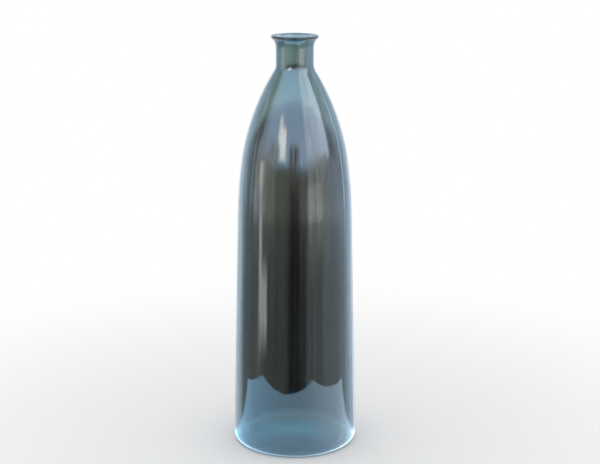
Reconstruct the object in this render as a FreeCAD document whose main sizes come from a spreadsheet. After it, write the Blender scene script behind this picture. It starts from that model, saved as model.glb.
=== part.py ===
# Tall bottle vase of thick recycled glass, blown in one piece.
# Sizes are in millimetres. The bottle stands on its bearing ring at Z = 0, centred on +Z.
import FreeCAD, Part
import math
import os
import Sketcher

# Driving sizes. An angle is in degrees, and a share is a part of the size that its name gives.
SIZES = {
    # Outer form, as the mould gives it
    "height": 1000.0,
    "base_radius": 150.6,
    "heel_radius": 19.0,
    "side_draft_angle": 1.4,
    "shoulder_height": 363.0,
    "lower_shoulder_radius": 1200.0,
    "lower_shoulder_height_share": 0.364,
    # Neck and mouth, as the maker tools them
    "neck_root_radius": 32.5,
    "neck_radius": 44.7,
    "neck_length": 39.0,
    "flare_radius": 28.0,
    "lip_overhang": 11.3,
    "lip_radius": 4.4,
    "mouth_flare_radius": 31.0,
    # Thickness of the glass
    "base_wall": 6.8,
    "shoulder_wall": 5.0,
    "neck_wall": 6.8,
    "heel_floor": 10.0,
    "dome_floor": 12.0,
    "inner_heel_radius": 8.0,
    # Punt, the hollow pushed up under the base
    "bearing_ring_width": 14.0,
    "punt_height": 20.0,
    "punt_rim_radius": 6.0,
}

BOTTLE = "glass_bottle"
GLASS_DENSITY = 2.5e-6  # kilograms in a cubic millimetre
FULL_TURN = 360.0


def vector(radius, level):
    """A point or direction in the sketch: distance from the axis, and height."""
    return FreeCAD.Vector(radius, level, 0)


def angle_of(centre, point):
    """The direction of a point as seen from an arc's centre, in radians."""
    return math.atan2(point.y - centre.y, point.x - centre.x)


def centre_through(start, inward, end):
    """The centre of the arc that leaves start square to inward and ends at end."""
    chord = end - start
    radius = chord.dot(chord) / (2 * chord.dot(inward))
    return start + inward * radius


def centre_touching(start, inward, other_centre, other_radius):
    """The centre of the arc that leaves start square to inward and touches another circle from outside."""
    gap = start - other_centre
    radius = (gap.dot(gap) - other_radius**2) / (2 * (other_radius - gap.dot(inward)))
    return start + inward * radius


class Outline:
    """A closed chain of lines and arcs in a sketch, laid out first and then held by constraints."""

    def __init__(self, sketch):
        self.sketch = sketch
        self.edges = {}

    def line(self, name, start, end):
        """Adds a straight edge."""
        index = self.sketch.addGeometry(Part.LineSegment(start, end), False)
        self.edges[name] = (index, 1, 2)

    def arc(self, name, centre, radius, start_angle, end_angle):
        """Adds an arc, which turns clockwise when its end angle is the smaller one."""
        low, high = sorted((start_angle, end_angle))
        circle = Part.Circle(centre, FreeCAD.Vector(0, 0, 1), radius)
        index = self.sketch.addGeometry(Part.ArcOfCircle(circle, low, high), False)
        first, last = (1, 2) if start_angle < end_angle else (2, 1)
        self.edges[name] = (index, first, last)

    def first(self, name):
        """The edge's index and its first point."""
        index, first, _ = self.edges[name]
        return index, first

    def last(self, name):
        """The edge's index and its last point."""
        index, _, last = self.edges[name]
        return index, last

    def centre(self, name):
        """The edge's index and its arc's centre."""
        return self.edges[name][0], 3

    def hold(self, kind, *where):
        """Adds a constraint without a size."""
        self.sketch.addConstraint(Sketcher.Constraint(kind, *where))

    def join(self, corners):
        """Joins each edge to the next one, tangent except at the named corners."""
        names = list(self.edges)
        for name, following in zip(names, names[1:] + names[:1]):
            kind = "Coincident" if name in corners else "Tangent"
            self.hold(kind, *self.last(name), *self.first(following))

    def drive(self, name, expression, kind, *where):
        """Adds a constraint whose size follows the sheet."""
        value = self.sketch.evalExpression(expression)
        constraint = Sketcher.Constraint(kind, *where, value)
        self.sketch.renameConstraint(self.sketch.addConstraint(constraint), name)
        self.sketch.setExpression(f"Constraints.{name}", expression)


def make_sheet(doc):
    """The sheet of driving sizes, one named cell for each."""
    sheet = doc.addObject("Spreadsheet::Sheet", "Sizes")
    for row, (name, value) in enumerate(SIZES.items(), 1):
        sheet.set(f"A{row}", name)
        sheet.set(f"B{row}", str(value))
        sheet.setAlias(f"B{row}", name)
    doc.recompute()
    return sheet


def lay_out_wall(outline, size):
    """Draws the half section of the wall: under the base, up the outside, over the lip and down the inside."""
    draft = math.radians(size.side_draft_angle)
    quarter = math.pi / 2
    half = math.pi

    # Mouth: the lip, and the flares outside and inside it
    lip_centre = vector(size.neck_radius + size.lip_overhang - size.lip_radius, size.height - size.lip_radius)
    bore_radius = size.neck_radius - size.neck_wall
    flare_reach = size.neck_radius + size.flare_radius - lip_centre.x
    flare_rise = math.sqrt((size.flare_radius + size.lip_radius) ** 2 - flare_reach**2)
    flare_centre = vector(size.neck_radius + size.flare_radius, lip_centre.y - flare_rise)
    mouth_reach = bore_radius + size.mouth_flare_radius - lip_centre.x
    mouth_rise = math.sqrt((size.mouth_flare_radius - size.lip_radius) ** 2 - mouth_reach**2)
    mouth_centre = vector(bore_radius + size.mouth_flare_radius, lip_centre.y - mouth_rise)
    flare_angle = angle_of(flare_centre, lip_centre)
    mouth_angle = angle_of(mouth_centre, lip_centre)

    # Outer side, from the heel to the neck's root
    root_centre = vector(size.neck_radius + size.neck_root_radius, flare_centre.y - size.neck_length)
    heel_centre = vector(size.base_radius - size.heel_radius, size.heel_radius)
    outward = vector(math.cos(draft), math.sin(draft))
    side_low = heel_centre + outward * size.heel_radius
    side_level = root_centre.y - size.shoulder_height
    side_high = vector(side_low.x - (side_level - side_low.y) * math.tan(draft), side_level)
    lower_centre = side_high - outward * size.lower_shoulder_radius
    break_level = side_level + size.shoulder_height * size.lower_shoulder_height_share
    break_angle = math.asin((break_level - lower_centre.y) / size.lower_shoulder_radius)
    break_outward = vector(math.cos(break_angle), math.sin(break_angle))
    break_point = lower_centre + break_outward * size.lower_shoulder_radius
    upper_centre = centre_touching(break_point, -break_outward, root_centre, size.neck_root_radius)
    upper_angle = angle_of(upper_centre, root_centre)

    # Inner side, from the neck's root to the heel
    inner_root_radius = size.neck_root_radius + size.neck_wall
    inner_side_high = side_high - vector(size.shoulder_wall, 0)
    inner_break = break_point - vector(size.shoulder_wall, 0)
    inner_heel_level = size.heel_floor + size.inner_heel_radius
    inner_base = side_low.x - (inner_heel_level - side_low.y) * math.tan(draft) - size.base_wall
    inner_side = (inner_side_high - vector(inner_base, inner_heel_level)).normalize()
    inner_inward = vector(-inner_side.y, inner_side.x)
    inner_lower_centre = centre_through(inner_side_high, inner_inward, inner_break)
    inner_lower_radius = (inner_break - inner_lower_centre).Length
    inner_break_inward = (inner_lower_centre - inner_break) / inner_lower_radius
    inner_upper_centre = centre_touching(inner_break, inner_break_inward, root_centre, inner_root_radius)
    inner_upper_angle = angle_of(inner_upper_centre, root_centre)
    inner_heel_centre = vector(inner_base, inner_heel_level) + inner_inward * size.inner_heel_radius
    inner_side_low = inner_heel_centre - inner_inward * size.inner_heel_radius

    # Base: the punt below and the floor's dome above it
    punt_top = vector(0, size.punt_height)
    punt_rim_centre = vector(heel_centre.x - size.bearing_ring_width, size.punt_rim_radius)
    punt_centre = centre_touching(punt_top, vector(0, -1), punt_rim_centre, size.punt_rim_radius)
    punt_angle = angle_of(punt_centre, punt_rim_centre)
    dome_top = vector(0, size.punt_height + size.dome_floor)
    dome_centre = centre_touching(dome_top, vector(0, -1), inner_heel_centre, size.inner_heel_radius)
    dome_angle = angle_of(dome_centre, inner_heel_centre)

    outline.arc("punt", punt_centre, size.punt_height - punt_centre.y, quarter, punt_angle)
    outline.arc("punt_rim", punt_rim_centre, size.punt_rim_radius, punt_angle - half, -quarter)
    outline.line("bearing_ring", vector(punt_rim_centre.x, 0), vector(heel_centre.x, 0))
    outline.arc("heel", heel_centre, size.heel_radius, -quarter, draft)
    outline.line("side", side_low, side_high)
    outline.arc("lower_shoulder", lower_centre, size.lower_shoulder_radius, draft, break_angle)
    upper_radius = (break_point - upper_centre).Length
    outline.arc("upper_shoulder", upper_centre, upper_radius, break_angle, upper_angle)
    outline.arc("neck_root", root_centre, size.neck_root_radius, upper_angle + half, half)
    neck_low = vector(size.neck_radius, root_centre.y)
    outline.line("neck", neck_low, vector(size.neck_radius, flare_centre.y))
    outline.arc("flare", flare_centre, size.flare_radius, half, flare_angle)
    outline.arc("lip", lip_centre, size.lip_radius, flare_angle - half, mouth_angle)
    outline.arc("mouth_flare", mouth_centre, size.mouth_flare_radius, mouth_angle, half)
    bore_low = vector(bore_radius, root_centre.y)
    outline.line("bore", vector(bore_radius, mouth_centre.y), bore_low)
    outline.arc("inner_neck_root", root_centre, inner_root_radius, half, inner_upper_angle + half)
    inner_upper_radius = (inner_break - inner_upper_centre).Length
    inner_break_angle = angle_of(inner_lower_centre, inner_break)
    outline.arc(
        "inner_upper_shoulder", inner_upper_centre, inner_upper_radius, inner_upper_angle, inner_break_angle
    )
    inner_side_angle = angle_of(inner_lower_centre, inner_side_high)
    outline.arc(
        "inner_lower_shoulder", inner_lower_centre, inner_lower_radius, inner_break_angle, inner_side_angle
    )
    outline.line("inner_side", inner_side_high, inner_side_low)
    outline.arc("inner_heel", inner_heel_centre, size.inner_heel_radius, inner_side_angle, dome_angle - half)
    outline.arc("floor_dome", dome_centre, dome_top.y - dome_centre.y, dome_angle, quarter)
    outline.line("axis", dome_top, punt_top)


def constrain_wall(outline):
    """Joins the half section's edges and ties it to the sheet of sizes."""
    origin = (-1, 1)
    height_axis = -2
    outline.join(corners=("floor_dome", "axis"))
    for name in ("punt", "floor_dome"):
        outline.hold("PointOnObject", *outline.centre(name), height_axis)
    for point in (outline.first("axis"), outline.last("axis")):
        outline.hold("PointOnObject", *point, height_axis)
    outline.hold("Horizontal", outline.edges["bearing_ring"][0])
    for name in ("neck", "bore"):
        outline.hold("Vertical", outline.edges[name][0])
    outline.hold("Coincident", *outline.centre("inner_neck_root"), *outline.centre("neck_root"))
    outline.hold("Horizontal", *outline.last("side"), *outline.first("inner_side"))
    outline.hold("Horizontal", *outline.last("lower_shoulder"), *outline.first("inner_lower_shoulder"))

    radii = {
        "punt_rim": "punt_rim_radius",
        "heel": "heel_radius",
        "lower_shoulder": "lower_shoulder_radius",
        "neck_root": "neck_root_radius",
        "flare": "flare_radius",
        "lip": "lip_radius",
        "mouth_flare": "mouth_flare_radius",
        "inner_heel": "inner_heel_radius",
    }
    for name, size_name in radii.items():
        outline.drive(f"{name}_radius", f"Sizes.{size_name}", "Radius", outline.edges[name][0])

    def level(name, expression, point):
        outline.drive(name, expression, "DistanceY", *origin, *point)

    def reach(name, expression, point):
        outline.drive(name, expression, "DistanceX", *origin, *point)

    def across(name, expression, inner, outer):
        outline.drive(name, expression, "DistanceX", *inner, *outer)

    def rise(name, expression, low, high):
        outline.drive(name, expression, "DistanceY", *low, *high)

    level("bearing_level", "0", outline.first("bearing_ring"))
    level("punt_height", "Sizes.punt_height", outline.last("axis"))
    rise("dome_floor", "Sizes.dome_floor", outline.last("axis"), outline.first("axis"))
    across(
        "bearing_ring_width",
        "Sizes.bearing_ring_width",
        outline.first("bearing_ring"),
        outline.last("bearing_ring"),
    )
    reach("heel_centre", "Sizes.base_radius - Sizes.heel_radius", outline.centre("heel"))
    outline.drive(
        "side_slope", "90 deg + Sizes.side_draft_angle * 1 deg", "Angle", outline.edges["side"][0]
    )
    rise("shoulder_height", "Sizes.shoulder_height", outline.last("side"), outline.first("neck"))
    rise(
        "lower_shoulder_height",
        "Sizes.shoulder_height * Sizes.lower_shoulder_height_share",
        outline.first("lower_shoulder"),
        outline.last("lower_shoulder"),
    )
    reach("neck_radius", "Sizes.neck_radius", outline.first("neck"))
    rise("neck_length", "Sizes.neck_length", outline.first("neck"), outline.last("neck"))
    reach("lip_reach", "Sizes.neck_radius + Sizes.lip_overhang - Sizes.lip_radius", outline.centre("lip"))
    level("lip_level", "Sizes.height - Sizes.lip_radius", outline.centre("lip"))
    across("neck_wall", "Sizes.neck_wall", outline.last("bore"), outline.first("neck"))
    across(
        "break_wall",
        "Sizes.shoulder_wall",
        outline.first("inner_lower_shoulder"),
        outline.last("lower_shoulder"),
    )
    across("side_wall", "Sizes.shoulder_wall", outline.first("inner_side"), outline.last("side"))
    outline.drive(
        "base_wall", "Sizes.base_wall", "Distance", *outline.last("inner_side"), outline.edges["side"][0]
    )
    level("inner_heel_level", "Sizes.heel_floor + Sizes.inner_heel_radius", outline.centre("inner_heel"))


def make_bottle(doc, size):
    """The bottle: one revolved wall section, from the punt to the lip."""
    body = doc.addObject("PartDesign::Body", "Bottle")
    body.Label = BOTTLE
    doc.recompute()
    section = body.newObject("Sketcher::SketchObject", "WallSection")
    planes = {feature.Role: feature for feature in body.Origin.OriginFeatures}
    section.AttachmentSupport = (planes["XZ_Plane"], [""])
    section.MapMode = "FlatFace"
    outline = Outline(section)
    lay_out_wall(outline, size)
    constrain_wall(outline)
    doc.recompute()
    wall = body.newObject("PartDesign::Revolution", "BlownWall")
    wall.Profile = section
    wall.ReferenceAxis = (section, ["V_Axis"])
    wall.Angle = FULL_TURN
    body.Tip = wall
    doc.recompute()
    if not section.FullyConstrained:
        raise ValueError(f"{section.Name} is free to move")
    return body


def check(doc, parts):
    """Stops the build where an object failed or a part has no sound solid."""
    for item in doc.Objects:
        if {"Invalid", "Error"} & set(item.State):
            raise ValueError(f"{item.Label} did not recompute")
    for part in parts:
        shape = part.Shape
        if shape.isNull() or not shape.isValid() or len(shape.Solids) != 1:
            raise ValueError(f"{part.Label} is not one sound solid")


def main():
    """Builds the bottle, reports it and writes it out."""
    doc = FreeCAD.newDocument("BottleVase")
    size = make_sheet(doc)
    parts = [make_bottle(doc, size)]
    check(doc, parts)
    os.makedirs("parts", exist_ok=True)
    for part in parts:
        part.Shape.exportStep(f"parts/{part.Label}.step")
        box = part.Shape.optimalBoundingBox()
        mass = part.Shape.Volume * GLASS_DENSITY
        print(f"{part.Label}: {box.XLength:.1f} x {box.YLength:.1f} x {box.ZLength:.1f} mm, {mass:.1f} kg")


main()
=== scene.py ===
import logging
import math
from dataclasses import dataclass, field
from enum import Enum
from typing import Any, Optional, Union

import bpy
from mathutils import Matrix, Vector


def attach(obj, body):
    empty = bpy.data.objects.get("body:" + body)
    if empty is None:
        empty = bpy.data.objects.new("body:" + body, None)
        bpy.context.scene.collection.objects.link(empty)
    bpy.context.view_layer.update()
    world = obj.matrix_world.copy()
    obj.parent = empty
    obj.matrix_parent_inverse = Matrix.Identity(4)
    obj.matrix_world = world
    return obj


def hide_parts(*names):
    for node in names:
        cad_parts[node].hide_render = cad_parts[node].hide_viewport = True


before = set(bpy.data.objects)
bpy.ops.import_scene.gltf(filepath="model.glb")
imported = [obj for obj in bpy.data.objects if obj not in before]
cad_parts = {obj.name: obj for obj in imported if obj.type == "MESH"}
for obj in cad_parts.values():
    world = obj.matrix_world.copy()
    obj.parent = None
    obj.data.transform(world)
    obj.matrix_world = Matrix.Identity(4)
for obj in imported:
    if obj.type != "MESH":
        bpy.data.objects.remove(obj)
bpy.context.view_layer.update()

BODY = "root"
CAD_BOTTLE = "glass_bottle"
FULL_TURN = 2 * math.pi
HALF_TURN = math.pi
PAINTED_SHADE_BLACK = (0.0, 0.0, 0.0)
WHITE = (1.0, 1.0, 1.0)

log = logging.getLogger("bottle_vase")

Colour = tuple[float, float, float]


class Calc(Enum):
    """Operations of a Math node that the shaders use."""

    ADD = "ADD"
    SUBTRACT = "SUBTRACT"
    MULTIPLY = "MULTIPLY"
    DIVIDE = "DIVIDE"
    ABSOLUTE = "ABSOLUTE"
    MAXIMUM = "MAXIMUM"
    ARCTAN2 = "ARCTAN2"
    ARCSINE = "ARCSINE"


class Ray(Enum):
    """Kinds of ray that a Light Path node tells apart."""

    CAMERA = "Is Camera Ray"
    GLOSSY = "Is Glossy Ray"
    TRANSMISSION = "Is Transmission Ray"


class Maker:
    """Adds nodes to one node tree and links them."""

    def __init__(self, tree: bpy.types.NodeTree) -> None:
        """Takes the tree and clears it."""
        self.tree = tree
        tree.nodes.clear()

    def node(
        self, kind: str, settings: Optional[dict[str, Any]] = None, sockets: Optional[dict[Any, Any]] = None
    ) -> bpy.types.Node:
        """Adds one node.

        Args:
            kind: The node's type, such as ShaderNodeMath.
            settings: Its properties, set first.
            sockets: A value, a Signal or an output socket for each input, by name or index.

        Returns:
            The new node.
        """
        made = self.tree.nodes.new(kind)
        for name, value in (settings or {}).items():
            setattr(made, name, value)
        for key, value in (sockets or {}).items():
            self.feed(made.inputs[key], value)
        return made

    def feed(self, socket: bpy.types.NodeSocket, value: Any) -> None:
        """Links a socket to a source or sets its value.

        Args:
            socket: The input to feed.
            value: A Signal, an output socket, a number or a tuple.
        """
        if isinstance(value, Signal):
            value = value.socket
        if isinstance(value, bpy.types.NodeSocket):
            self.tree.links.new(value, socket)
        elif isinstance(value, tuple) and socket.type == "RGBA":
            socket.default_value = (*value, 1.0)
        else:
            socket.default_value = value

    def signal(self, node: bpy.types.Node, output: Union[str, int] = 0) -> "Signal":
        """Wraps a node's output for arithmetic."""
        return Signal(self, node.outputs[output])

    def mix_colour(self, share: Any, under: Any, over: Any) -> bpy.types.NodeSocket:
        """Mixes two colours.

        Args:
            share: How much of the second colour shows.
            under: The first colour.
            over: The second colour.

        Returns:
            The mixed colour's socket.
        """
        mixed = self.node("ShaderNodeMix", {"data_type": "RGBA"}, {0: share, 6: under, 7: over})
        return mixed.outputs[2]

    def noise(self, where: Any, scale: float, detail: float = 2.0) -> "Signal":
        """Soft noise between 0 and 1.

        Args:
            where: The coordinates that it reads.
            scale: How many features a unit holds.
            detail: How many finer layers are added.

        Returns:
            The noise's value.
        """
        made = self.node("ShaderNodeTexNoise", None, {"Vector": where, "Scale": scale, "Detail": detail})
        return self.signal(made, 0)

    def stretched(self, where: Any, scale: Colour) -> bpy.types.NodeSocket:
        """Coordinates scaled differently along each axis."""
        made = self.node("ShaderNodeMapping", {"vector_type": "POINT"}, {"Vector": where, "Scale": scale})
        return made.outputs[0]


class Signal:
    """One value socket, with the arithmetic that shader maths is written in."""

    def __init__(self, maker: Maker, socket: bpy.types.NodeSocket) -> None:
        """Wraps a socket of the maker's tree."""
        self.maker = maker
        self.socket = socket

    def _calc(self, operation: Calc, *terms: Any) -> "Signal":
        """Adds a Math node over the terms."""
        sockets = dict(enumerate(terms))
        return self.maker.signal(self.maker.node("ShaderNodeMath", {"operation": operation.value}, sockets))

    def __add__(self, other: Any) -> "Signal":
        """This plus a term."""
        return self._calc(Calc.ADD, self, other)

    __radd__ = __add__

    def __sub__(self, other: Any) -> "Signal":
        """This less a term."""
        return self._calc(Calc.SUBTRACT, self, other)

    def __rsub__(self, other: Any) -> "Signal":
        """A term less this."""
        return self._calc(Calc.SUBTRACT, other, self)

    def __mul__(self, other: Any) -> "Signal":
        """This times a term."""
        return self._calc(Calc.MULTIPLY, self, other)

    __rmul__ = __mul__

    def __truediv__(self, other: Any) -> "Signal":
        """This divided by a term."""
        return self._calc(Calc.DIVIDE, self, other)

    def __neg__(self) -> "Signal":
        """This with its sign turned."""
        return self._calc(Calc.MULTIPLY, self, -1.0)

    def __abs__(self) -> "Signal":
        """This without its sign."""
        return self._calc(Calc.ABSOLUTE, self)

    def larger(self, other: Any) -> "Signal":
        """The larger of this and a term."""
        return self._calc(Calc.MAXIMUM, self, other)

    def turn_from(self, other: Any) -> "Signal":
        """The angle whose tangent is this over a term."""
        return self._calc(Calc.ARCTAN2, self, other)

    def arcsine(self) -> "Signal":
        """The angle whose sine this is."""
        return self._calc(Calc.ARCSINE, self)

    def rise(self, low: float, high: float) -> "Signal":
        """A smooth step from 0 to 1.

        Args:
            low: Where the step starts. It may be the larger number, for a fall.
            high: Where the step ends.

        Returns:
            The step's value.
        """
        settings = {"interpolation_type": "SMOOTHSTEP"}
        if low > high:
            return 1 - self.rise(high, low)
        sockets = {"Value": self, "From Min": low, "From Max": high}
        return self.maker.signal(self.maker.node("ShaderNodeMapRange", settings, sockets))

    def band(self, low: float, high: float, soft: float) -> "Signal":
        """1 between two values and 0 outside them.

        Args:
            low: The middle of the lower edge.
            high: The middle of the upper edge.
            soft: Half the width of each edge.

        Returns:
            The band's value.
        """
        return self.rise(low - soft, low + soft) * self.rise(high + soft, high - soft)


def new_material(name: str) -> tuple[bpy.types.Material, Maker]:
    """Makes an empty node material.

    Args:
        name: The material's name.

    Returns:
        The material and a maker for its nodes.
    """
    material = bpy.data.materials.new(name)
    material.use_nodes = True
    return material, Maker(material.node_tree)


def select_nothing() -> None:
    """Deselects every object."""
    bpy.ops.object.select_all(action="DESELECT")


class SectionPen:
    """Draws a wall's half section in edit mode, one stretch after another, and turns it about the axis."""

    def __init__(self, name: str, start: Vector) -> None:
        """Puts the first vertex down.

        Args:
            name: The piece's name.
            start: The first point: distance from the axis, and height.
        """
        select_nothing()
        bpy.ops.mesh.primitive_plane_add(size=1.0)
        self.piece = bpy.context.object
        self.piece.name = self.piece.data.name = name
        self.tip = start
        bpy.ops.object.mode_set(mode="EDIT")
        bpy.ops.mesh.select_all(action="SELECT")
        bpy.ops.mesh.merge(type="CENTER")
        bpy.ops.transform.translate(value=(start.x, 0.0, start.y))

    def line(self, end: Vector, longest_row: float) -> None:
        """Extrudes a straight stretch.

        Args:
            end: Its last point.
            longest_row: The most that one row may measure.
        """
        rows = max(1, math.ceil((end - self.tip).length / longest_row))
        step = (end - self.tip) / rows
        for _ in range(rows):
            bpy.ops.mesh.extrude_vertices_move(TRANSFORM_OT_translate={"value": (step.x, 0.0, step.y)})
        self.tip = end

    def arc(self, centre: Vector, end: Vector, longest_row: float, widest_step: float) -> None:
        """Spins a round stretch.

        Args:
            centre: The arc's centre.
            end: Its last point.
            longest_row: The most that one row may measure.
            widest_step: The most that one row may turn, in radians.
        """
        turn = angle_of(centre, end) - angle_of(centre, self.tip)
        turn = (turn + HALF_TURN) % FULL_TURN - HALF_TURN
        length = abs(turn) * (self.tip - centre).length
        rows = max(2, math.ceil(length / longest_row), math.ceil(abs(turn) / widest_step))
        bpy.ops.mesh.spin(steps=rows, angle=turn, center=(centre.x, 0.0, centre.y), axis=(0.0, 1.0, 0.0))
        self.tip = end

    def turn(self, segments: int, merge_distance: float) -> bpy.types.Object:
        """Spins the whole section about the upright axis and closes it.

        Args:
            segments: Steps in the full turn.
            merge_distance: Vertices nearer than this become one.

        Returns:
            The finished piece.
        """
        bpy.ops.mesh.select_all(action="SELECT")
        bpy.ops.mesh.spin(steps=segments, angle=FULL_TURN, center=(0.0, 0.0, 0.0), axis=(0.0, 0.0, 1.0))
        bpy.ops.mesh.select_all(action="SELECT")
        bpy.ops.mesh.remove_doubles(threshold=merge_distance)
        bpy.ops.mesh.normals_make_consistent(inside=False)
        bpy.ops.object.mode_set(mode="OBJECT")
        bpy.ops.object.shade_smooth()
        return self.piece


def point(radius: float, level: float) -> Vector:
    """A point or direction in the section: distance from the axis, and height."""
    return Vector((radius, level))


def angle_of(centre: Vector, place: Vector) -> float:
    """The direction of a point as seen from an arc's centre, in radians."""
    return math.atan2(place.y - centre.y, place.x - centre.x)


def along(centre: Vector, other: Vector, distance: float) -> Vector:
    """The point at a distance from a centre, towards another point."""
    return centre + (other - centre).normalized() * distance


def centre_through(start: Vector, inward: Vector, end: Vector) -> Vector:
    """The centre of the arc that leaves start square to inward and ends at end."""
    chord = end - start
    return start + inward * (chord.dot(chord) / (2 * chord.dot(inward)))


def centre_touching(start: Vector, inward: Vector, other: Vector, other_radius: float) -> Vector:
    """Finds the centre of an arc that touches another circle from outside.

    Args:
        start: Where the arc starts.
        inward: The direction from there to its centre.
        other: The other circle's centre.
        other_radius: The other circle's radius.

    Returns:
        The arc's centre.
    """
    gap = start - other
    radius = (gap.dot(gap) - other_radius**2) / (2 * (other_radius - gap.dot(inward)))
    return start + inward * radius


@dataclass
class BlownBottle:
    """The bottle's one wall: punt, heel, side, shoulder, neck, flared mouth and rounded lip.

    Lengths are in metres and angles in degrees.
    """

    height: float = 1.0
    base_radius: float = 0.1506
    heel_radius: float = 0.019
    side_draft: float = 1.4
    shoulder_height: float = 0.363
    lower_shoulder_radius: float = 1.2
    lower_shoulder_height_share: float = 0.364
    neck_root_radius: float = 0.0325
    neck_radius: float = 0.0447
    neck_length: float = 0.039
    flare_radius: float = 0.028
    lip_overhang: float = 0.0113
    lip_radius: float = 0.0044
    mouth_flare_radius: float = 0.031
    base_wall: float = 0.0068
    shoulder_wall: float = 0.005
    neck_wall: float = 0.0068
    heel_floor: float = 0.010
    dome_floor: float = 0.012
    inner_heel_radius: float = 0.008
    bearing_ring_width: float = 0.014
    punt_height: float = 0.020
    punt_rim_radius: float = 0.006
    segments: int = 240
    longest_row: float = 0.009
    widest_step: float = math.radians(7.0)
    merge_distance: float = 0.00001
    wave_depth: float = 0.00022
    wave_width: float = 0.045
    wave_height: float = 0.16
    still_level: float = 0.004
    wave_level: float = 0.030

    def build(self, name: str) -> bpy.types.Object:
        """Blows the bottle.

        Args:
            name: The piece's name.

        Returns:
            The bottle's mesh object.
        """
        pen = SectionPen(name, point(0.0, self.punt_height))
        self._draw_base(pen)
        self._draw_outside(pen)
        self._draw_mouth(pen)
        self._draw_inside(pen)
        piece = pen.turn(self.segments, self.merge_distance)
        self._wave(piece)
        return piece

    @property
    def _heel_centre(self) -> Vector:
        """The heel's centre."""
        return point(self.base_radius - self.heel_radius, self.heel_radius)

    @property
    def _outward(self) -> Vector:
        """The direction square to the side, away from the axis."""
        draft = math.radians(self.side_draft)
        return point(math.cos(draft), math.sin(draft))

    @property
    def _lip_centre(self) -> Vector:
        """The lip's centre."""
        return point(self.neck_radius + self.lip_overhang - self.lip_radius, self.height - self.lip_radius)

    @property
    def _flare_centre(self) -> Vector:
        """The centre of the flare outside the mouth."""
        reach = self.neck_radius + self.flare_radius - self._lip_centre.x
        rise = math.sqrt((self.flare_radius + self.lip_radius) ** 2 - reach**2)
        return point(self.neck_radius + self.flare_radius, self._lip_centre.y - rise)

    @property
    def _bore_radius(self) -> float:
        """The neck's inner radius."""
        return self.neck_radius - self.neck_wall

    @property
    def _mouth_centre(self) -> Vector:
        """The centre of the flare inside the mouth."""
        reach = self._bore_radius + self.mouth_flare_radius - self._lip_centre.x
        rise = math.sqrt((self.mouth_flare_radius - self.lip_radius) ** 2 - reach**2)
        return point(self._bore_radius + self.mouth_flare_radius, self._lip_centre.y - rise)

    @property
    def _root_centre(self) -> Vector:
        """The centre of the curve at the neck's root."""
        return point(self.neck_radius + self.neck_root_radius, self._flare_centre.y - self.neck_length)

    @property
    def _side_low(self) -> Vector:
        """Where the side leaves the heel."""
        return self._heel_centre + self._outward * self.heel_radius

    @property
    def _side_high(self) -> Vector:
        """Where the side turns into the shoulder."""
        level = self._root_centre.y - self.shoulder_height
        rise = level - self._side_low.y
        return point(self._side_low.x - rise * math.tan(math.radians(self.side_draft)), level)

    @property
    def _lower_centre(self) -> Vector:
        """The centre of the shoulder's lower curve."""
        return self._side_high - self._outward * self.lower_shoulder_radius

    @property
    def _break(self) -> Vector:
        """Where the shoulder's lower curve meets the upper one."""
        level = self._side_high.y + self.shoulder_height * self.lower_shoulder_height_share
        tilt = math.asin((level - self._lower_centre.y) / self.lower_shoulder_radius)
        return self._lower_centre + point(math.cos(tilt), math.sin(tilt)) * self.lower_shoulder_radius

    @property
    def _inner_heel_centre(self) -> Vector:
        """The centre of the curve between the inside wall and the floor."""
        return self._inner_side_low + self._inner_inward * self.inner_heel_radius

    @property
    def _inner_side_low(self) -> Vector:
        """The inside wall's lowest point."""
        level = self.heel_floor + self.inner_heel_radius
        lean = (level - self._side_low.y) * math.tan(math.radians(self.side_draft))
        return point(self._side_low.x - lean - self.base_wall, level)

    @property
    def _inner_side_high(self) -> Vector:
        """The inside wall's highest point."""
        return self._side_high - point(self.shoulder_wall, 0.0)

    @property
    def _inner_inward(self) -> Vector:
        """The direction square to the inside wall, towards the axis."""
        side = (self._inner_side_high - self._inner_side_low).normalized()
        return point(-side.y, side.x)

    def _arc(self, pen: SectionPen, centre: Vector, end: Vector) -> None:
        """Draws an arc with this bottle's fineness."""
        pen.arc(centre, end, self.longest_row, self.widest_step)

    def _draw_base(self, pen: SectionPen) -> None:
        """Draws the punt, its rim, the bearing ring and the heel."""
        rim_centre = point(self._heel_centre.x - self.bearing_ring_width, self.punt_rim_radius)
        punt_centre = centre_touching(pen.tip, point(0.0, -1.0), rim_centre, self.punt_rim_radius)
        self._arc(pen, punt_centre, along(rim_centre, punt_centre, self.punt_rim_radius))
        self._arc(pen, rim_centre, point(rim_centre.x, 0.0))
        pen.line(point(self._heel_centre.x, 0.0), self.longest_row)
        self._arc(pen, self._heel_centre, self._side_low)

    def _draw_outside(self, pen: SectionPen) -> None:
        """Draws the side, the shoulder and the neck."""
        pen.line(self._side_high, self.longest_row)
        self._arc(pen, self._lower_centre, self._break)
        inward = (self._lower_centre - self._break).normalized()
        upper_centre = centre_touching(self._break, inward, self._root_centre, self.neck_root_radius)
        self._arc(pen, upper_centre, along(self._root_centre, upper_centre, self.neck_root_radius))
        self._arc(pen, self._root_centre, point(self.neck_radius, self._root_centre.y))
        pen.line(point(self.neck_radius, self._flare_centre.y), self.longest_row)

    def _draw_mouth(self, pen: SectionPen) -> None:
        """Draws the flare, the rounded lip and the mouth's inside down to the bore."""
        self._arc(pen, self._flare_centre, along(self._lip_centre, self._flare_centre, self.lip_radius))
        outside = self._lip_centre + (self._lip_centre - self._mouth_centre).normalized() * self.lip_radius
        self._arc(pen, self._lip_centre, outside)
        self._arc(pen, self._mouth_centre, point(self._bore_radius, self._mouth_centre.y))
        pen.line(point(self._bore_radius, self._root_centre.y), self.longest_row)

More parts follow.
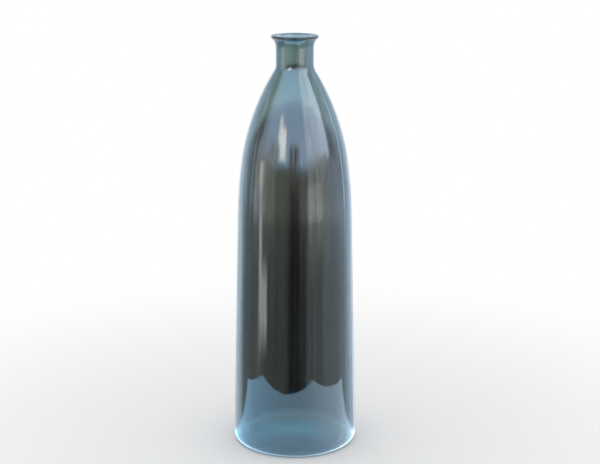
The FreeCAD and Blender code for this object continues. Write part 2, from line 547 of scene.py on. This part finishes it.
    def _draw_inside(self, pen: SectionPen) -> None:
        """Draws the inside of the shoulder and side, and the domed floor."""
        root_radius = self.neck_root_radius + self.neck_wall
        inner_break = self._break - point(self.shoulder_wall, 0.0)
        lower_centre = centre_through(self._inner_side_high, self._inner_inward, inner_break)
        inward = (lower_centre - inner_break).normalized()
        upper_centre = centre_touching(inner_break, inward, self._root_centre, root_radius)
        self._arc(pen, self._root_centre, along(self._root_centre, upper_centre, root_radius))
        self._arc(pen, upper_centre, inner_break)
        self._arc(pen, lower_centre, self._inner_side_high)
        pen.line(self._inner_side_low, self.longest_row)
        dome_top = point(0.0, self.punt_height + self.dome_floor)
        heel_centre = self._inner_heel_centre
        dome_centre = centre_touching(dome_top, point(0.0, -1.0), heel_centre, self.inner_heel_radius)
        self._arc(pen, heel_centre, along(heel_centre, dome_centre, self.inner_heel_radius))
        self._arc(pen, dome_centre, dome_top)

    def _wave(self, piece: bpy.types.Object) -> None:
        """Gives both faces of the wall the slow waves of hand-blown glass, within the wall.

        Args:
            piece: The bottle.
        """
        free = piece.vertex_groups.new(name="waving")
        for vertex in piece.data.vertices:
            share = (vertex.co.z - self.still_level) / (self.wave_level - self.still_level)
            free.add([vertex.index], min(1.0, max(0.0, share)), "REPLACE")
        select_nothing()
        scale = (self.wave_width, self.wave_width, self.wave_height)
        bpy.ops.object.empty_add(type="PLAIN_AXES", location=(0.0, 0.0, 0.0))
        ruler = bpy.context.object
        ruler.scale = scale
        pattern = bpy.data.textures.new("glass_waves", "CLOUDS")
        pattern.noise_scale = 1.0
        pattern.noise_depth = 1
        bpy.context.view_layer.update()
        wave = piece.modifiers.new("waves", "DISPLACE")
        wave.texture = pattern
        wave.texture_coords = "OBJECT"
        wave.texture_coords_object = ruler
        wave.vertex_group = free.name
        wave.mid_level = 1.0
        wave.strength = self.wave_depth
        select_nothing()
        piece.select_set(True)
        bpy.context.view_layer.objects.active = piece
        bpy.ops.object.modifier_apply(modifier=wave.name)
        piece.vertex_groups.clear()
        bpy.data.objects.remove(ruler)


@dataclass(frozen=True)
class SmokyGlass:
    """The finish of the whole bottle: blue-grey recycled glass, fire-polished."""

    ior: float = 1.52
    clear_tint: Colour = (0.95, 0.97, 0.98)
    cord_tint: Colour = (0.90, 0.94, 0.955)
    absorbed_from: Colour = (0.25, 0.45, 0.48)
    density: float = 240.0
    polish: float = 0.006
    haze: float = 0.02
    haze_scale: float = 22.0
    haze_band: tuple[float, float] = (0.5, 0.75)
    scuff: float = 0.30
    scuff_level: float = 0.0035
    scuff_scale: float = 400.0
    scuff_band: tuple[float, float] = (0.35, 0.6)
    cord_scale: float = 60.0
    cord_stretch: Colour = (1.0, 1.0, 0.12)
    cord_band: tuple[float, float] = (0.42, 0.68)
    ripple: float = 0.0001
    ripple_scale: float = 28.0
    ripple_stretch: Colour = (1.0, 1.0, 0.35)

    def material(self) -> bpy.types.Material:
        """Makes the material.

        Returns:
            Clear glass that takes its colour from its thickness, with cords, haze and a worn bearing ring.
        """
        material, maker = new_material("smoky_glass")
        place = maker.node("ShaderNodeTexCoord").outputs["Object"]
        level = maker.signal(maker.node("ShaderNodeSeparateXYZ", None, {0: place}), "Z")
        drawn = maker.stretched(place, self.cord_stretch)
        cords = maker.noise(drawn, self.cord_scale, 3.0).rise(*self.cord_band)
        tint = maker.mix_colour(cords, self.clear_tint, self.cord_tint)
        smears = maker.noise(place, self.haze_scale, 4.0).rise(*self.haze_band)
        wear = maker.noise(place, self.scuff_scale, 2.0).rise(*self.scuff_band)
        wear = wear * level.rise(self.scuff_level, 0.0)
        roughness = self.polish + self.haze * smears + self.scuff * wear
        ripples = maker.noise(maker.stretched(place, self.ripple_stretch), self.ripple_scale, 1.0)
        heights = {"Height": ripples, "Distance": self.ripple, "Strength": 1.0}
        bump = maker.node("ShaderNodeBump", None, heights)
        surface = maker.node(
            "ShaderNodeBsdfPrincipled",
            None,
            {
                "Base Color": tint,
                "Roughness": roughness,
                "IOR": self.ior,
                "Transmission Weight": 1.0,
                "Normal": bump.outputs[0],
            },
        )
        volume = maker.node(
            "ShaderNodeVolumeAbsorption", None, {"Color": self.absorbed_from, "Density": self.density}
        )
        sockets = {"Surface": surface.outputs[0], "Volume": volume.outputs[0]}
        maker.node("ShaderNodeOutputMaterial", None, sockets)
        return material


@dataclass(frozen=True)
class Card:
    """One soft-edged patch of the surroundings that the glass mirrors.

    Angles are in degrees: azimuth from the camera's side, positive to the right, and elevation.
    """

    left: float
    right: float
    low: float
    high: float
    colour: Colour
    soft: float = 3.0
    soft_rise: float = 2.0
    share: float = 1.0
    streaks: float = 0.0


@dataclass
class Surroundings:
    """The studio round the bottle: white to the camera, soft cards and flags to the glass."""

    low_sky: Colour = (3.5, 4.5, 5.8)
    high_sky: Colour = (2.9, 4.2, 5.8)
    low_sky_level: float = 16.0
    high_sky_level: float = 50.0
    streak_scale: float = 2.0
    streak_detail: float = 5.0
    streak_stretch: Colour = (7.0, 7.0, 1.6)
    streak_band: tuple[float, float] = (0.35, 0.65)
    cards: list[Card] = field(
        default_factory=lambda: [
            # Pale cards high on the right
            Card(27, 87, 4, 75, (6.4, 7.1, 8.3), 3, 4, 0.9, 0.5),
            Card(62, 83, 14, 48, (6.9, 7.6, 8.9), 4, 8, 0.9, 0.35),
            # Grey card on the left
            Card(-100, -72, 4, 46, (2.0, 2.3, 2.6), 10, 8, 0.9, 0.3),
            # Dark flags at both sides
            Card(-128, -86, -70, 46, (0.75, 0.7, 0.6), 6, 6, 1.0, 0.35),
            Card(83, 120, -70, 48, (1.2, 1.25, 1.4), 2, 6, 1.0, 0.35),
            # A low grey band under the next cards, so that no sky shows between them
            Card(-90, 86, -70, 5, (0.7, 0.7, 0.6), 4, 5, 1.0, 0.0),
            # Ragged dark cards round the horizon, their tops at different levels
            Card(-92, -62, -70, 12, (3.0, 2.9, 2.8), 4, 4, 1.0, 0.5),
            Card(-64, -40, -70, 16, (2.3, 2.2, 1.7), 4, 4, 1.0, 0.6),
            Card(-42, -10, -70, 6, (1.15, 1.1, 0.85), 3, 4, 1.0, 0.6),
            Card(8, 28, -70, 5, (1.3, 1.3, 1.2), 3, 4, 1.0, 0.6),
            Card(27, 60, -70, 10, (3.3, 3.2, 3.0), 3, 3, 1.0, 0.6),
            Card(58, 76, -70, 8, (2.8, 2.9, 3.0), 4, 3, 1.0, 0.5),
            Card(74, 92, -70, 4, (2.3, 2.5, 2.9), 4, 3, 1.0, 0.5),
            Card(-12, 10, -70, 18, (0.9, 0.8, 0.65), 3, 3, 1.0, 0.5),
            Card(-10, 8, -70, -1, (0.4, 0.34, 0.36), 4, 5, 1.0, 0.2),
            # Darker towards the floor
            Card(-126, -60, -70, -10, (0.6, 0.6, 0.55), 5, 4, 1.0, 0.3),
            Card(-62, -12, -70, -10, (0.5, 0.5, 0.45), 4, 4, 1.0, 0.3),
            Card(-14, 24, -70, -10, (0.1, 0.08, 0.06), 4, 4, 1.0, 0.3),
            Card(22, 60, -70, -11, (0.7, 0.75, 0.75), 5, 3, 1.0, 0.3),
            Card(58, 126, -70, -11, (1.1, 1.2, 1.3), 5, 3, 1.0, 0.3),
            # Pale uprights
            Card(-42, -33, 17, 31, (11.0, 10.4, 10.0), 1.5, 3, 0.95, 0.2),
            Card(-35, -21, 10, 26, (11.5, 10.9, 10.6), 1.5, 3, 1.0, 0.0),
            Card(-79, -70, -3, 4, (8.0, 7.2, 6.4), 2, 2, 0.9, 0.3),
            Card(-76, -69, -16, -2, (5.0, 4.8, 4.4), 1, 2, 0.9, 0.4),
            Card(-70, -57, -16, -13, (5.4, 5.1, 4.7), 2, 1, 0.9, 0.4),
            Card(25, 58, -9, 0, (4.2, 4.0, 3.8), 3, 1.5, 0.9, 0.5),
            # Pale sides, which line the silhouette
            Card(-200, -124, -70, 28, (0.95, 1.05, 1.15), 4, 8, 1.0, 0.15),
            Card(122, 200, -70, 28, (1.0, 1.1, 1.3), 4, 8, 1.0, 0.15),
            # The view through the glass: dim behind the neck, and dark behind the body, a painted shadow of
            # the bottle on the floor behind it
            Card(-200, -168, -70, 10, (1.1, 0.95, 0.8), 4, 3, 1.0, 0.0),
            Card(168, 200, -70, 10, (1.1, 0.95, 0.8), 4, 3, 1.0, 0.0),
            Card(-200, -168, -90, -7.2, (0.02, 0.01, 0.01), 4, 0.8, 1.0, 0.0),
            Card(168, 200, -90, -7.2, (0.02, 0.01, 0.01), 4, 0.8, 1.0, 0.0),
        ]
    )

    def build(self) -> bpy.types.World:
        """Makes the world and puts it in the scene.

        Returns:
            The world.
        """
        world = bpy.data.worlds.new("studio")
        world.use_nodes = True
        maker = Maker(world.node_tree)
        direction = maker.node("ShaderNodeTexCoord").outputs["Generated"]
        axes = maker.node("ShaderNodeSeparateXYZ", None, {0: direction})
        across, ahead, up = (maker.signal(axes, name) for name in ("X", "Y", "Z"))
        azimuth = across.turn_from(-ahead) * math.degrees(1.0)
        elevation = up.arcsine() * math.degrees(1.0)
        stretched = maker.stretched(direction, self.streak_stretch)
        streaks = maker.noise(stretched, self.streak_scale, self.streak_detail).rise(*self.streak_band)
        colour = maker.mix_colour(
            elevation.rise(self.low_sky_level, self.high_sky_level), self.low_sky, self.high_sky
        )
        for card in self.cards:
            mask = azimuth.band(card.left, card.right, card.soft)
            mask = mask * elevation.band(card.low, card.high, card.soft_rise)
            mask = mask * card.share * (1 - card.streaks * streaks)
            colour = maker.mix_colour(mask, colour, card.colour)
        seen = ray_kind(maker, Ray.GLOSSY).larger(ray_kind(maker, Ray.TRANSMISSION))
        shown = maker.mix_colour(seen, WHITE, colour)
        background = maker.node("ShaderNodeBackground", None, {"Color": shown, "Strength": 1.0})
        maker.node("ShaderNodeOutputWorld", None, {"Surface": background.outputs[0]})
        bpy.context.scene.world = world
        return world


def ray_kind(maker: Maker, kind: Ray) -> Signal:
    """1 for one kind of ray, from a Light Path node."""
    return maker.signal(maker.node("ShaderNodeLightPath"), kind.value)


@dataclass
class StudioFloor:
    """A wide pale floor. For the glass it is painted light: it glows as a bright board in the mirror and
    dimmer through the wall.
    """

    half_width: float = 30.0
    cuts: int = 3
    board_half: float = 0.65
    board_bulge: float = 0.43
    board_turn: float = math.radians(13.5)
    board_soft: float = 0.004
    pale: Colour = (0.88, 0.88, 0.88)
    # Painted light: the colours the floor glows in for the glass, bluish and brighter at the sides
    front_light: Colour = (1.95, 3.0, 3.95)
    left_light: Colour = (2.0, 3.5, 4.9)
    right_light: Colour = (3.2, 4.3, 5.3)
    left_to_right: float = 0.05
    # Teal painted glow under the back of the foot
    under_light: Colour = (0.0, 1.1, 1.1)
    through_light: Colour = (0.45, 0.7, 0.8)
    through_from: float = 0.3
    through_to: float = 0.9
    side_from: float = 0.2
    side_to: float = 0.95
    foot_radius: float = 0.135
    foot_soft: float = 0.012
    under_from: float = 0.0
    under_soft: float = 0.03
    fade_from: float = 0.45
    fade_to: float = 1.6
    # Where the painted shadow behind the bottle begins and becomes full
    painted_shadow_from: float = 0.0
    painted_shadow_to: float = 0.06

    def build(self) -> bpy.types.Object:
        """Lays the floor.

        Returns:
            The floor, which isn't part of the object.
        """
        select_nothing()
        bpy.ops.mesh.primitive_plane_add(size=2 * self.half_width)
        floor = bpy.context.object
        floor.name = floor.data.name = "studio_floor"
        bpy.ops.object.mode_set(mode="EDIT")
        bpy.ops.mesh.subdivide(number_cuts=self.cuts)
        bpy.ops.object.mode_set(mode="OBJECT")
        floor.data.materials.append(self._material())
        return floor

    def _material(self) -> bpy.types.Material:
        """Makes the floor's material.

        Returns:
            Pale and diffuse near the bottle and white to the camera far off. For the glass it is painted
            light: it glows as a bright board in the mirror and as a dimmer floor through its wall, with
            painted black shade under the front of the foot and a teal painted glow under its back. Both are
            open to the studio past their edges and behind the bottle, where the studio's dark low cards
            paint the bottle's shadow on the floor behind it.
        """
        material, maker = new_material("pale_floor")
        place = maker.node("ShaderNodeTexCoord").outputs["Object"]
        rotation = (0.0, 0.0, self.board_turn)
        turned = maker.node("ShaderNodeMapping", None, {"Vector": place, "Rotation": rotation})
        axes = maker.node("ShaderNodeSeparateXYZ", None, {0: turned.outputs[0]})
        length = maker.node("ShaderNodeVectorMath", {"operation": "LENGTH"}, {0: place})
        distance = maker.signal(length, "Value")
        away = abs(maker.signal(axes, "X")).larger(abs(maker.signal(axes, "Y")))
        away = away * (1 - self.board_bulge) + distance * self.board_bulge
        beyond = away.rise(self.board_half - self.board_soft, self.board_half + self.board_soft)
        straight = maker.node("ShaderNodeSeparateXYZ", None, {0: place})
        rightward, ahead = maker.signal(straight, "X"), maker.signal(straight, "Y")
        across = abs(rightward)
        foot = distance.rise(self.foot_radius + self.foot_soft, self.foot_radius - self.foot_soft)
        under = ahead.rise(self.under_from - self.under_soft, self.under_from + self.under_soft)
        side = (across / distance).rise(self.side_from, self.side_to)
        # Painted light: for glass rays the floor is an emission, a bluish board brighter at the sides in
        # the mirror and dimmer through the wall
        mirrored = ray_kind(maker, Ray.GLOSSY) * (1 - ray_kind(maker, Ray.TRANSMISSION))
        on_right = rightward.rise(-self.left_to_right, self.left_to_right)
        board = maker.mix_colour(on_right, self.left_light, self.right_light)
        board = maker.mix_colour(side, self.front_light, board)
        board = maker.mix_colour(mirrored, self.through_light, board)
        # Under the foot: black painted shade under the front, and a teal painted glow under the back
        painted_shade_and_glow_under_foot = maker.mix_colour(under, PAINTED_SHADE_BLACK, self.under_light)
        painted_glow = maker.node("ShaderNodeEmission", None, {"Color": maker.mix_colour(foot, board, painted_shade_and_glow_under_foot)})
        opening = maker.node("ShaderNodeBsdfTransparent")
        # Painted shadow: behind the bottle the floor opens for the glass onto the studio's dark low cards,
        # the bottle's shadow on the floor behind it
        painted_shadow_behind = ahead.rise(self.painted_shadow_from, self.painted_shadow_to)
        edge = beyond * mirrored + distance.rise(self.through_from, self.through_to) * (1 - mirrored)
        gap = edge.larger(painted_shadow_behind * (1 - foot))
        seen = maker.node("ShaderNodeMixShader", None, {0: gap, 1: painted_glow.outputs[0], 2: opening.outputs[0]})
        matt = maker.node("ShaderNodeBsdfDiffuse", None, {"Color": self.pale})
        white = maker.node("ShaderNodeEmission", None, {"Color": WHITE})
        far = distance.rise(self.fade_from, self.fade_to) * ray_kind(maker, Ray.CAMERA)
        plain = maker.node("ShaderNodeMixShader", None, {0: far, 1: matt.outputs[0], 2: white.outputs[0]})
        glass = ray_kind(maker, Ray.GLOSSY).larger(ray_kind(maker, Ray.TRANSMISSION))
        both = {0: glass, 1: plain.outputs[0], 2: seen.outputs[0]}
        surface = maker.node("ShaderNodeMixShader", None, both)
        maker.node("ShaderNodeOutputMaterial", None, {"Surface": surface.outputs[0]})
        return material


@dataclass
class PhotoCamera:
    """The camera, worked out from the bottle's outline in a picture 600 pixels wide and 464 high."""

    picture_width: float = 600.0
    picture_height: float = 464.0
    focal_pixels: float = 1300.9
    axis_column: float = 294.8
    middle_row: float = 242.47
    distance: float = 3.061
    level: float = 1.268
    aim_level: float = 0.5
    sensor: float = 36.0
    farthest: float = 200.0

    def build(self) -> bpy.types.Object:
        """Stands the camera and makes it the scene's own.

        Returns:
            The camera.
        """
        lens = bpy.data.cameras.new("photo_camera")
        lens.sensor_width = self.sensor
        lens.lens = self.focal_pixels * self.sensor / self.picture_width
        lens.shift_x = (self.picture_width / 2 - self.axis_column) / self.picture_width
        lens.shift_y = (self.middle_row - self.picture_height / 2) / self.picture_width
        lens.clip_end = self.farthest
        camera = bpy.data.objects.new("photo_camera", lens)
        bpy.context.scene.collection.objects.link(camera)
        camera.location = (0.0, -self.distance, self.level)
        aim = Vector((0.0, 0.0, self.aim_level)) - camera.location
        camera.rotation_euler = aim.to_track_quat("-Z", "Y").to_euler()
        bpy.context.scene.camera = camera
        return camera


def main() -> None:
    """Builds the bottle, its glass and the studio."""
    logging.basicConfig(level=logging.INFO, format="%(message)s")
    bpy.context.scene.view_settings.view_transform = "Standard"
    PhotoCamera().build()
    Surroundings().build()
    StudioFloor().build()
    bottle = BlownBottle().build("bottle_vase")
    bottle.data.materials.append(SmokyGlass().material())
    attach(bottle, BODY)
    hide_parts(CAD_BOTTLE)
    log.info("%s: %d faces", bottle.name, len(bottle.data.polygons))


if __name__ == "__main__":
    main()
